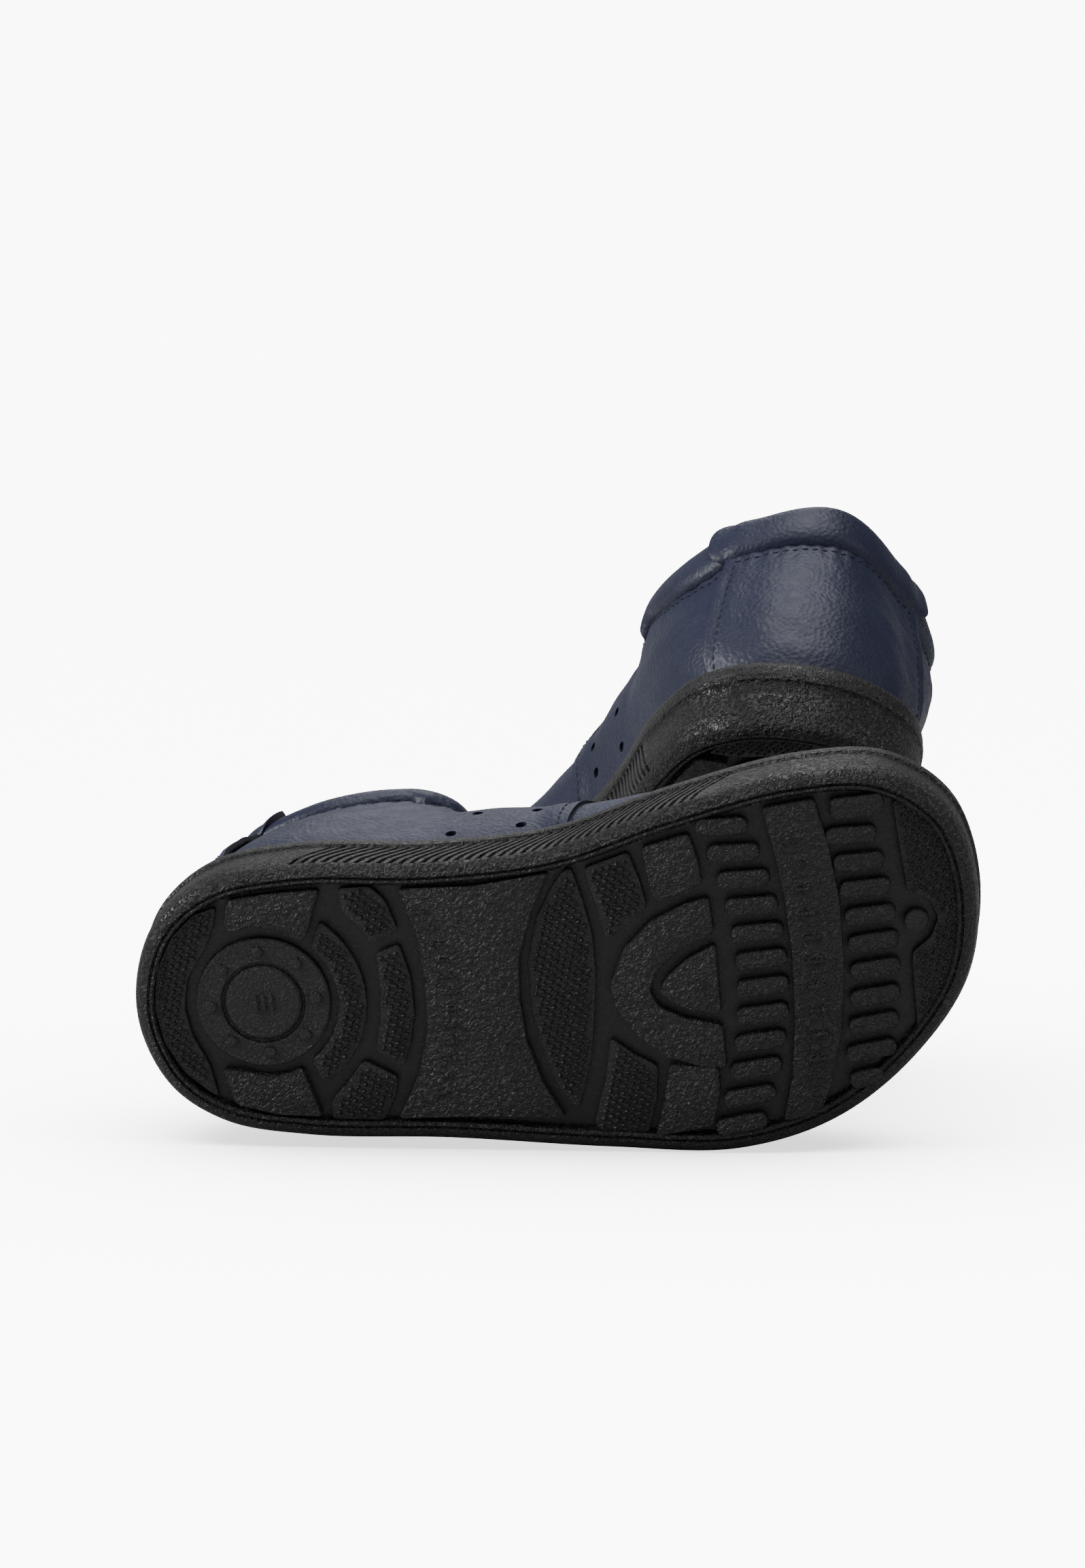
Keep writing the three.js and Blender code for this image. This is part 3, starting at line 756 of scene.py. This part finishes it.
for i in range(12):
    b = 28.6 - i * 5.78
    bar(102.4 - 7.6 * ((b - 0.5) / 35) ** 2, b, 10.6, BAR_WIDTH, -b * 0.14, **BAR_LOOK)
for i in range(10):
    b = 23.4 - i * 5.76
    length = 10.2 if i < 9 else 7
    bar(125.2 - 3.6 * ((b - 2) / 28) ** 2, b, length, BAR_WIDTH, -b * 0.16, **BAR_LOOK)
block([(119.6, 31.6), (130, 31.4), (130.4, 28.6), (129.6, 26.8), (119.6, 27.2)])
block([(106, 31.6), (116.6, 32.2), (118.4, 22), (119.4, 10), (118.8, -4), (117, -18),
       (113.4, -29), (111, -34.4), (103.2, -35.4), (106, -26), (107.8, -14), (108.8, 0),
       (108.6, 12), (107.6, 22)])
for i in range(10):
    b = 24 - i * 5.2
    bar(113.2 - 3.4 * ((b + 2) / 30) ** 2, b, 3.8, 0.84, corner=0.25, **MARK)
pointed_block([(132, 29.4), (136.6, 28.6), (141.4, 20.6), (144, 11), (144.6, 2), (143.4, -6),
               (140, -13.4), (134.6, -19.6), (132, -21), (132.4, -11), (132.6, -3.2), (136.6, -0.6),
               (138.6, 3.2), (137.2, 7.6), (133, 9.6), (132.6, 18)])
block(arc((134.2, 3.4), 2.5, 0, 330, 12), corner=0, edge=0.4, fine=1)

# %% [markdown]
# The tread and the wall are joined into one piece for each shoe. Everything so far was drawn flat,
# so the blocks are cut across and then take the toe spring. The band under the rim is smoother
# than the bumpers, so it takes the second material.

# %% Join the sole
for x in range(TREAD_START + 1, 168, 4):
    cut_across(tread, tread.verts[:] + tread.edges[:] + tread.faces[:], x)
before = set(tread.faces)
for x, y in point_places:
    turned = Matrix.Translation((x, y, 0.27)) @ Matrix.Rotation(math.pi, 4, "X")
    bmesh.ops.create_cone(tread, cap_ends=True, segments=4, radius1=POINT_SIZE, radius2=0.12,
                          depth=0.5, matrix=turned)
for face in set(tread.faces) - before:
    face.material_index = 1
for vert in tread.verts:
    vert.co.z += float(spring(vert.co.x))
for face in sole.faces:
    middle = face.calc_center_median()
    height = middle.z - spring(middle.x)
    if height > 14 or (RIB_LOW < height < RIB_HIGH and RIB_FROM < middle.x < RIB_TO):
        face.material_index = 1
join(sole, tread)
print(len(point_places), "points")
both_shoes(sole, "outsole", RUBBERS)

# %% [markdown]
# ## Leather panels
# A panel is a sheet of leather about a millimetre thick, cut and lapped over its neighbour. Here a
# panel is a grid on the skin, and Solidify gives it its thickness inwards, with the cut edge in a
# darker material. The lift function says how far it stands off the skin: up where it laps over a
# neighbour, down where it runs underneath. Slight waves keep the stretched leather from looking
# machined.

# %% Panel helpers
THICKNESS = 1.1
LEATHER = [navy, cut_edge]


def rim_x(s):
    return at_share(s)[0][..., 0]


def thicken(obj, thickness):
    thick = obj.modifiers.new("Thickness", "SOLIDIFY")
    thick.thickness, thick.offset, thick.material_offset_rim = thickness, -1, 1


def soft_edge(obj, edge=0.2):
    soft = obj.modifiers.new("Soft edge", "BEVEL")
    soft.width, soft.segments = edge / 1000, 2
    soft.limit_method, soft.angle_limit = "ANGLE", math.radians(55)


def sheet_of(thickness, edge=0.22):
    def finish(obj):
        thicken(obj, thickness / 1000)
        soft_edge(obj, edge)
    return finish


def waves(s, t):
    turn = math.tau * s
    soft = 0.17 * np.sin(9 * turn + 9 * t) * np.sin(4 * turn - 13 * t + 1)
    fine = 0.05 * np.sin(31 * turn - 40 * t)
    return (soft + fine) * smooth(0, 0.12, t) * (1 - smooth(0.84, 0.98, t))


def pucker(s, t):
    """The small pulls that a row of stitches leaves beside the collar seam."""
    return 0.13 * np.sin(math.tau * s * PERIMETER / 5) * np.exp(-((t - quarter_top(s)) / 0.09) ** 2)


def skin(columns, rows, way, low, high, lift):
    def place(u, v):
        s = way(u, v)
        t = low(s) + (high(s) - low(s)) * v
        return on_upper(s, t, lift(s, t))
    return start_grid(columns, rows, place)


def between(start, end):
    return lambda u, v=0: start + (end - start) * u


def round_toe(x):
    """From x on the inner side, round the toe, to x on the outer side, with both sides in step."""
    def way(u, v=0):
        at = x + (SOLE_LENGTH - x) * np.sin(np.pi * np.minimum(u, 1 - u))
        return np.where(np.abs(u - 0.5) < 1e-6, TOE_S, np.where(u < 0.5, inner_s(at), outer_s(at)))
    return way


def level(value):
    return lambda s: np.full_like(s, value)


# %% Vamp
def vamp_lift(s, t):
    x = rim_x(s)
    under = 0.7 * (1 - smooth(86, 89, x)) * (1 - smooth(0.9, 1, t))
    at_rim = 0.7 * (1 - smooth(0, 0.08, t)) * (1 - smooth(88, 91, x))
    return waves(s, t) - under - at_rim


vamp = skin(96, 30, round_toe(83), level(-0.12), level(1), vamp_lift)
bmesh.ops.remove_doubles(vamp, verts=vamp.verts, dist=0.02)
both_shoes(vamp, "vamp", LEATHER, finish=sheet_of(THICKNESS))

# %% [markdown]
# ## Quarters with punched holes
# Each quarter covers one side, from under the heel panel to over the vamp. Three by two small
# holes are punched in it for air. A Boolean with a set of thin rods makes them, and it needs a
# closed sheet, so here the thickness comes first and both are applied before the pieces are made.

# %% Quarters
HOLES = [(74, 42), (69.5, 34.8), (65, 24), (85.5, 38.5), (82, 32.2), (79.3, 24.6)]
HOLE_RADIUS = 1.15


def quarter_lift(s, t):
    x = rim_x(s)
    tuck = 1.3 * (1 - smooth(15.2, 18, x))
    lap = 0.75 * smooth(82, 87, x) * smooth(0, 0.08, t)
    return lap - tuck + waves(s, t) + pucker(s, t)


def punched(sheet, side_y):
    rods = bmesh.new()
    for x, z in HOLES:
        turned = Matrix.Translation((x, 35 * side_y, z)) @ Matrix.Rotation(math.pi / 2, 4, "X")
        bmesh.ops.create_cone(rods, cap_ends=True, segments=20, radius1=HOLE_RADIUS,
                              radius2=HOLE_RADIUS, depth=56, matrix=turned)
    meshes = [mesh_of(sheet, "sheet"), mesh_of(rods, "rods")]
    panel, tool = (add_object(mesh.name, mesh) for mesh in meshes)
    for mesh in meshes:
        for material in LEATHER:
            mesh.materials.append(material)
    thicken(panel, THICKNESS)
    holes = panel.modifiers.new("Holes", "BOOLEAN")
    holes.object, holes.operation, holes.solver = tool, "DIFFERENCE", "EXACT"
    ready = panel.evaluated_get(bpy.context.evaluated_depsgraph_get())
    result = bmesh.new()
    result.from_mesh(ready.to_mesh())
    for obj in (panel, tool):
        bpy.data.objects.remove(obj)
    for mesh in meshes:
        bpy.data.meshes.remove(mesh)
    return result


def front_x(v):
    return 88.5 + 5.5 * smooth(0.1, 0.8, v)


def inner_way(u, v):
    return inner_s(13) * (1 - u) + inner_s(front_x(v)) * u


def outer_way(u, v):
    return outer_s(front_x(v)) * (1 - u) + outer_s(13) * u


for name, way, side_y in (("inner_quarter", inner_way, -1), ("outer_quarter", outer_way, 1)):
    sheet = skin(90, 30, way, level(-0.12), lambda s: quarter_top(s) + 0.012, quarter_lift)
    both_shoes(punched(sheet, side_y), name, LEATHER, finish=soft_edge)

# %% [markdown]
# ## Heel panel
# The heel panel is one piece round the back, lapped over both quarters. Its raw edge stands a
# little ahead of the stitches, so the edge is lifted slightly there.

# %% Heel panel
HEEL_EDGE_X = 18


def heel_lift(s, t):
    x = rim_x(s)
    lap = 0.55 + 0.6 * smooth(9, 15, x) + 0.55 * smooth(15.8, 17.2, x)
    return lap * smooth(-0.01, 0.1, t) + waves(s, t) + pucker(s, t)


heel = skin(72, 30, between(outer_s(HEEL_EDGE_X) - 1, inner_s(HEEL_EDGE_X)), level(-0.1),
            lambda s: quarter_top(s) + 0.012, heel_lift)
both_shoes(heel, "heel_panel", LEATHER, finish=sheet_of(1.3, 0.3))

# %% [markdown]
# ## Padded collar
# The collar is a roll of foam in leather, closed like a sausage, that follows the top line from
# one side of the instep round the heel to the other. Each cross-section is a rounded square: up
# the outside, over the top and down the inside, where the cloth lining takes over. It flattens
# to nothing at both front ends.

# %% Collar roll
PUFF, COLLAR_MIDDLE, COLLAR_FRONT_X = 3.1, -0.7, 64.5


def squarish(k):
    return np.sign(k) * np.abs(k) ** 0.8


def roll(s, v, extra=0.0):
    """A point of the collar's cross-section: v from 0 at the outer seam, over the top, to 1."""
    x = rim_x(s)
    out, up = squarish(np.sin(math.tau * v)), -squarish(np.cos(math.tau * v))
    seam = quarter_top(s)
    shrink = np.sqrt(1 - np.clip((x - COLLAR_FRONT_X + 15) / 15, 0, 1) ** 2)
    t = (seam + 1) / 2 + (1 - seam) / 2 * up
    bumps = 0.1 * np.sin(math.tau * 9 * s) * np.maximum(out, 0)
    point = on_upper(s, t, COLLAR_MIDDLE + (PUFF + bumps + extra) * out * shrink)
    return point + np.stack([0 * x, 0 * x, extra * np.maximum(up, 0) * shrink], -1)


def pad_point(u, v):
    s = between(outer_s(COLLAR_FRONT_X) - 1, inner_s(COLLAR_FRONT_X))(u)
    return roll(s, v, -1.25 * (1 - smooth(13, 18, rim_x(s))))


pad = start_grid(150, 28, pad_point)
bmesh.ops.remove_doubles(pad, verts=pad.verts, dist=0.01)
for face in pad.faces:
    middle = face.calc_center_median()
    if face.normal.dot(Vector((middle.x - 38, middle.y, 0)).normalized()) < -0.55:
        face.material_index = 1
for piece in both_shoes(pad, "collar_pad", [navy, lining_cloth],
                        ["inner_collar", "outer_collar", "collar_foam"]):
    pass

# %% [markdown]
# ## Heel collar
# A second layer of leather wraps the roll at the heel. Its front edges are cut, not turned, and
# stand up as thick dark tabs.

# %% Heel collar
TAB_X = 18.5


def heel_collar_point(u, v):
    tab = TAB_X + 3.5 * np.sin(np.pi * np.clip(v * 1.3, 0, 1)) + 0.5 * v
    s = (outer_s(tab) - 1) * (1 - u) + inner_s(tab) * u
    x = rim_x(s)
    return roll(s, 0.03 + 0.66 * v, 0.05 + 0.5 * smooth(9, 18, x) + 0.85 * smooth(tab - 3, tab, x))


wrap = start_grid(80, 26, heel_collar_point)
both_shoes(wrap, "heel_collar", LEATHER, finish=sheet_of(1.7, 0.3))

# %% [markdown]
# ## Tongue, lining and footbed
# These show only through the mouth of the shoe. The tongue is a padded strip arched across the
# instep, the linings are thin cloth inside the leather, and the footbed is a soft-edged plate.
# The fibre boards between the layers never show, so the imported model's own are kept.

# %% Tongue
TONGUE_LINE = np.array([(100, 43.5), (90, 47.5), (79, 52.5), (69, 58), (61, 64.5)], float)


def tongue_point(u, v):
    k = v * (len(TONGUE_LINE) - 1)
    x, z = (np.interp(k, range(len(TONGUE_LINE)), TONGUE_LINE[:, c]) for c in (0, 1))
    full = np.sqrt(np.clip(1 - np.abs(2 * v - 1) ** 9, 0, 1))
    across, thick = np.cos(math.tau * u) * full, np.sin(math.tau * u) * full
    half = 8 + 4 * smooth(0.2, 0.8, v)
    return np.stack([x, half * across, z - 1.6 - 6 * across**2 + 1.5 * thick], -1)


tongue = start_grid(28, 24, tongue_point)
bmesh.ops.remove_doubles(tongue, verts=tongue.verts, dist=0.01)
bmesh.ops.recalc_face_normals(tongue, faces=tongue.faces)
for piece in both_shoes(tongue, "tongue", [navy]):
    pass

# %% Linings
side_lining = skin(110, 20, between(outer_s(94) - 1, inner_s(94)), level(-0.3),
                   lambda s: quarter_top(s) + 0.05 - 0.1 * smooth(50, 62, rim_x(s)),
                   lambda s, t: np.full_like(s, -3.5))
toe_lining = skin(60, 16, round_toe(95), level(-0.3), level(0.97),
                  lambda s, t: np.full_like(s, -2.6))
for name, lining in (("quarter_lining", side_lining), ("vamp_lining", toe_lining)):
    both_shoes(lining, name, [lining_cloth] * 2, finish=sheet_of(0.8, 0.15))

# %% Footbed and boards
BED_ROWS = np.array([(7.9, 9.3), (7.6, 9.6), (7.6, 12.2), (7.9, 12.7), (8.6, 12.85), (13, 12.7)])


def bed_point(u, v):
    inset, height = BED_ROWS[np.rint(v * (len(BED_ROWS) - 1)).astype(int)].T
    flat, _ = at_share(u, inset)
    return np.stack([flat[:, 0], flat[:, 1], height], -1)


bed = start_grid(90, len(BED_ROWS) - 1, bed_point)
bmesh.ops.remove_doubles(bed, verts=bed.verts, dist=0.01)
bmesh.ops.holes_fill(bed, edges=[e for e in bed.edges if e.is_boundary], sides=0)
bmesh.ops.recalc_face_normals(bed, faces=bed.faces)
both_shoes(bed, "footbed", [footbed_cloth])
for side in PLACES:
    for node in ("insole_board", "heel_counter", "toe_puff"):
        for holder in frame["nodes"][f"{side}_{node}"].material_slots:
            holder.material = board

# %% [markdown]
# ## Straps
# Two straps cross the instep. Each is sewn down on the inner side and closes with hook and loop
# tape on the outer side. A point over the foot is found by searching along the rim for the line
# of the skin that passes the strap's place.

# %% Straps
STRAPS = {"rear": 72.5, "front": 89.0}
STRAP_WIDTH, STRAP_ROOT, STRAP_END, STRAP_LEATHER = 13.5, 0.66, 0.3, 1.5
TAPE_TOP = 0.66
TAPE_LIFT = {"hook": 2.6, "loop": 1.3}
RIDGE = (1 - STRAP_ROOT) / (2 - STRAP_ROOT - STRAP_END)


def instep(x, inner, t, lift):
    low = np.where(inner, float(inner_s(40)), TOE_S)
    high = np.where(inner, TOE_S, float(outer_s(40)))
    for _ in range(40):
        middle = (low + high) / 2
        back = (upper(middle, t)[..., 0] > x) == inner
        high, low = np.where(back, middle, high), np.where(back, low, middle)
    return on_upper(middle, t, lift)


def strap_point(which, inset=0.0, lift=0.0):
    def place(u, v):
        rounded = np.sqrt(np.clip(1 - np.clip((u - 0.88) / 0.13, 0, 1) ** 2.6, 0.05, 1))
        x = STRAPS[which] - (STRAP_WIDTH - 2 * inset) * rounded * (v - 0.5)
        inner = u < RIDGE
        t = np.where(inner, STRAP_ROOT + (1 - STRAP_ROOT) * u / RIDGE,
                     1 + (STRAP_END - 1) * (u - RIDGE) / (1 - RIDGE))
        return instep(x, inner, t,
                      lift + 3.1 * smooth(0.1 * RIDGE, 0.9 * RIDGE, u) - 1.4
                      + 2.9 * smooth(RIDGE - 0.05, RIDGE + 0.3, u))
    return place


def tape_point(which, lift):
    def place(u, v):
        return instep(STRAPS[which] - (STRAP_WIDTH - 3) * (v - 0.5), np.zeros(u.shape, bool),
                      TAPE_TOP + (STRAP_END + 0.05 - TAPE_TOP) * u, lift)
    return place


def root_bend(which):
    """Two points on the strap's middle line: its sewn root, and a point three fifths of the way to
    the ridge.
    """
    return strap_point(which)(np.array([0.0, 0.6 * RIDGE]), np.array([0.5, 0.5]))


for which in STRAPS:
    strap_body = "{}_" + which + "_strap_body"
    both_shoes(start_grid(48, 10, strap_point(which)), which + "_strap", LEATHER,
               body=strap_body, bend=root_bend(which), finish=sheet_of(STRAP_LEATHER, 0.3))
    for tape, body in (("hook", strap_body), ("loop", "{}_shoe")):
        both_shoes(start_grid(12, 8, tape_point(which, TAPE_LIFT[tape])), f"{which}_{tape}_pad",
                   [tape_pile] * 2, body=body, finish=sheet_of(0.8, 0.1))

# %% [markdown]
# ## Stitches
# Thread shows as short raised dashes sunk a little in the leather. Each stitch is a stretched ball
# of twenty faces, laid end to end along a path of points on the panel.

# %% Sew
def sew(bm, path, pitch=2.1, length=1.6, width=0.56):
    steps = np.linalg.norm(np.diff(path, axis=0), axis=1)
    place = np.concatenate([[0], np.cumsum(steps)])
    for centre in np.arange(pitch / 2, place[-1], pitch):
        ends = [Vector([np.interp(centre + d, place, path[:, c]) for c in range(3)])
                for d in (-0.3, 0.3)]
        turn = (ends[1] - ends[0]).to_track_quat("X", "Z").to_matrix().to_4x4()
        size = Matrix.Diagonal((length / 2, width / 2, width / 2, 1))
        here = Matrix.Translation(sum(ends, Vector()) / 2) @ turn @ size
        bmesh.ops.create_icosphere(bm, subdivisions=1, radius=1, matrix=here)


def seam(s, t, lift):
    s = np.broadcast_to(s, t.shape)
    sew(seams, on_upper(s, t, lift(s, t)))


seams = bmesh.new()
up_line = np.linspace(0.03, 1, 60)
for s in (inner_s(15.4), outer_s(15.4)):
    t = up_line * (quarter_top(s) - 0.02)
    seam(s, t, heel_lift)
round_heel = np.linspace(outer_s(16.5) - 1, inner_s(16.5), 120)
seam(round_heel, quarter_top(round_heel) - 0.028, heel_lift)
for start, end in ((inner_s(20), inner_s(90)), (outer_s(90), outer_s(20))):
    s = np.linspace(start, end, 200)
    seam(s, quarter_top(s) - 0.035, quarter_lift)
for share in (inner_s, outer_s):
    s = share(front_x(up_line) - 1.6)
    seam(s, up_line * (quarter_top(s) - 0.03), quarter_lift)
both_shoes(seams, "seam_stitches", [thread], [])

for which in STRAPS:
    rows_of_thread = bmesh.new()
    u = np.linspace(0.02, 0.93, 120)
    for v in (0, 1):
        sew(rows_of_thread, strap_point(which, 1.5)(u, np.full_like(u, v)))
    both_shoes(rows_of_thread, which + "_strap_stitches", [thread], [],
               body="{}_" + which + "_strap_body", bend=root_bend(which))

# %% [markdown]
# ## Studio
# The shoes stand on a pale seamless sweep: a floor that curves up into a backdrop. The light is
# soft and comes mostly from above and from the left, so the leather shows broad dim highlights
# and the black tread keeps its depth. The paper also glows, for camera rays only, so that it
# stays white without lighting the shoes. It glows less where something is close above it, which
# deepens the contact shadow. The camera looks almost level, with a long lens.

# %% Sweep
SWEEP_WIDTH, SWEEP_RUN, SWEEP_FRONT = 6, 6.2, -1.9
FLAT_RUN, BEND_RUN = 3.2, 1.2


def sweep_point(u, v):
    run = v * SWEEP_RUN
    bend = np.clip((run - FLAT_RUN) / BEND_RUN, 0, 1) * math.pi / 2
    radius = BEND_RUN / (math.pi / 2)
    y = SWEEP_FRONT + np.minimum(run, FLAT_RUN) + radius * np.sin(bend)
    z = radius * (1 - np.cos(bend)) + np.maximum(run - FLAT_RUN - BEND_RUN, 0)
    return np.stack([(u - 0.5) * SWEEP_WIDTH, y, z], -1)


sweep = add_object("studio_sweep", mesh_of(start_grid(4, 60, sweep_point), "studio_sweep"))
sweep.data.shade_smooth()
paper = Recipe("studio_paper")
tooth = paper.mix(paper.noise(60, 2), (0.5, 0.5, 0.505), (0.53, 0.53, 0.53))
near = paper.add("AmbientOcclusion", {"Distance": 0.16}, samples=16).outputs["AO"]
sight = paper.add("LightPath", {}).outputs["Is Camera Ray"]
glow = paper.maths("MULTIPLY", sight, paper.ramp(near, 0.35, 1, 1.6, 9.5))
sweep.data.materials.append(paper.ready({
    "Base Color": tooth, "Roughness": 0.9, "Specular IOR Level": 0.1,
    "Emission Color": (1, 1, 1, 1), "Emission Strength": glow}))

# %% Lights
LIGHTS = [  # name, place, height of the spot it aims at, size, power
    ("overhead", (0.1, -0.15, 1.5), 0.05, 1.3, 19),
    ("left", (-1.7, -0.25, 0.85), 0.06, 0.9, 30),
    ("front", (0.2, -1.9, 1.3), 0.05, 0.8, 3.6),
    ("right_side", (1.6, -0.6, 0.8), 0.06, 0.8, 3),
    ("behind", (0.0, 1.3, 1.3), 0.1, 1.0, 5),
]

for name, place, aim, size, power in LIGHTS:
    data = bpy.data.lights.new(name, "AREA")
    data.shape, data.size, data.energy = "DISK", size, power
    light = add_object(name, data)
    light.location = place
    light.rotation_euler = (Vector((0, 0, aim)) - Vector(place)).to_track_quat("-Z", "Y").to_euler()
world = bpy.data.worlds.new("studio")
world.use_nodes = True
backdrop = world.node_tree.nodes["Background"].inputs
backdrop["Color"].default_value, backdrop["Strength"].default_value = (1, 1, 1, 1), 0.08
bpy.context.scene.world = world
print(len(LIGHTS), "soft lights")

# %% Camera
CAMERA_PLACE, CAMERA_TILT, LENS = (-0.00277, -1.2775, 0.1781), 85, 138.07
camera_data = bpy.data.cameras.new("camera")
camera_data.sensor_width, camera_data.lens = 36, LENS
camera_data.clip_start, camera_data.clip_end = 0.05, 20
camera = add_object("camera", camera_data)
camera.location = CAMERA_PLACE
camera.rotation_euler = (math.radians(CAMERA_TILT), 0, 0)
bpy.context.scene.camera = camera
print("lens", LENS, "mm")
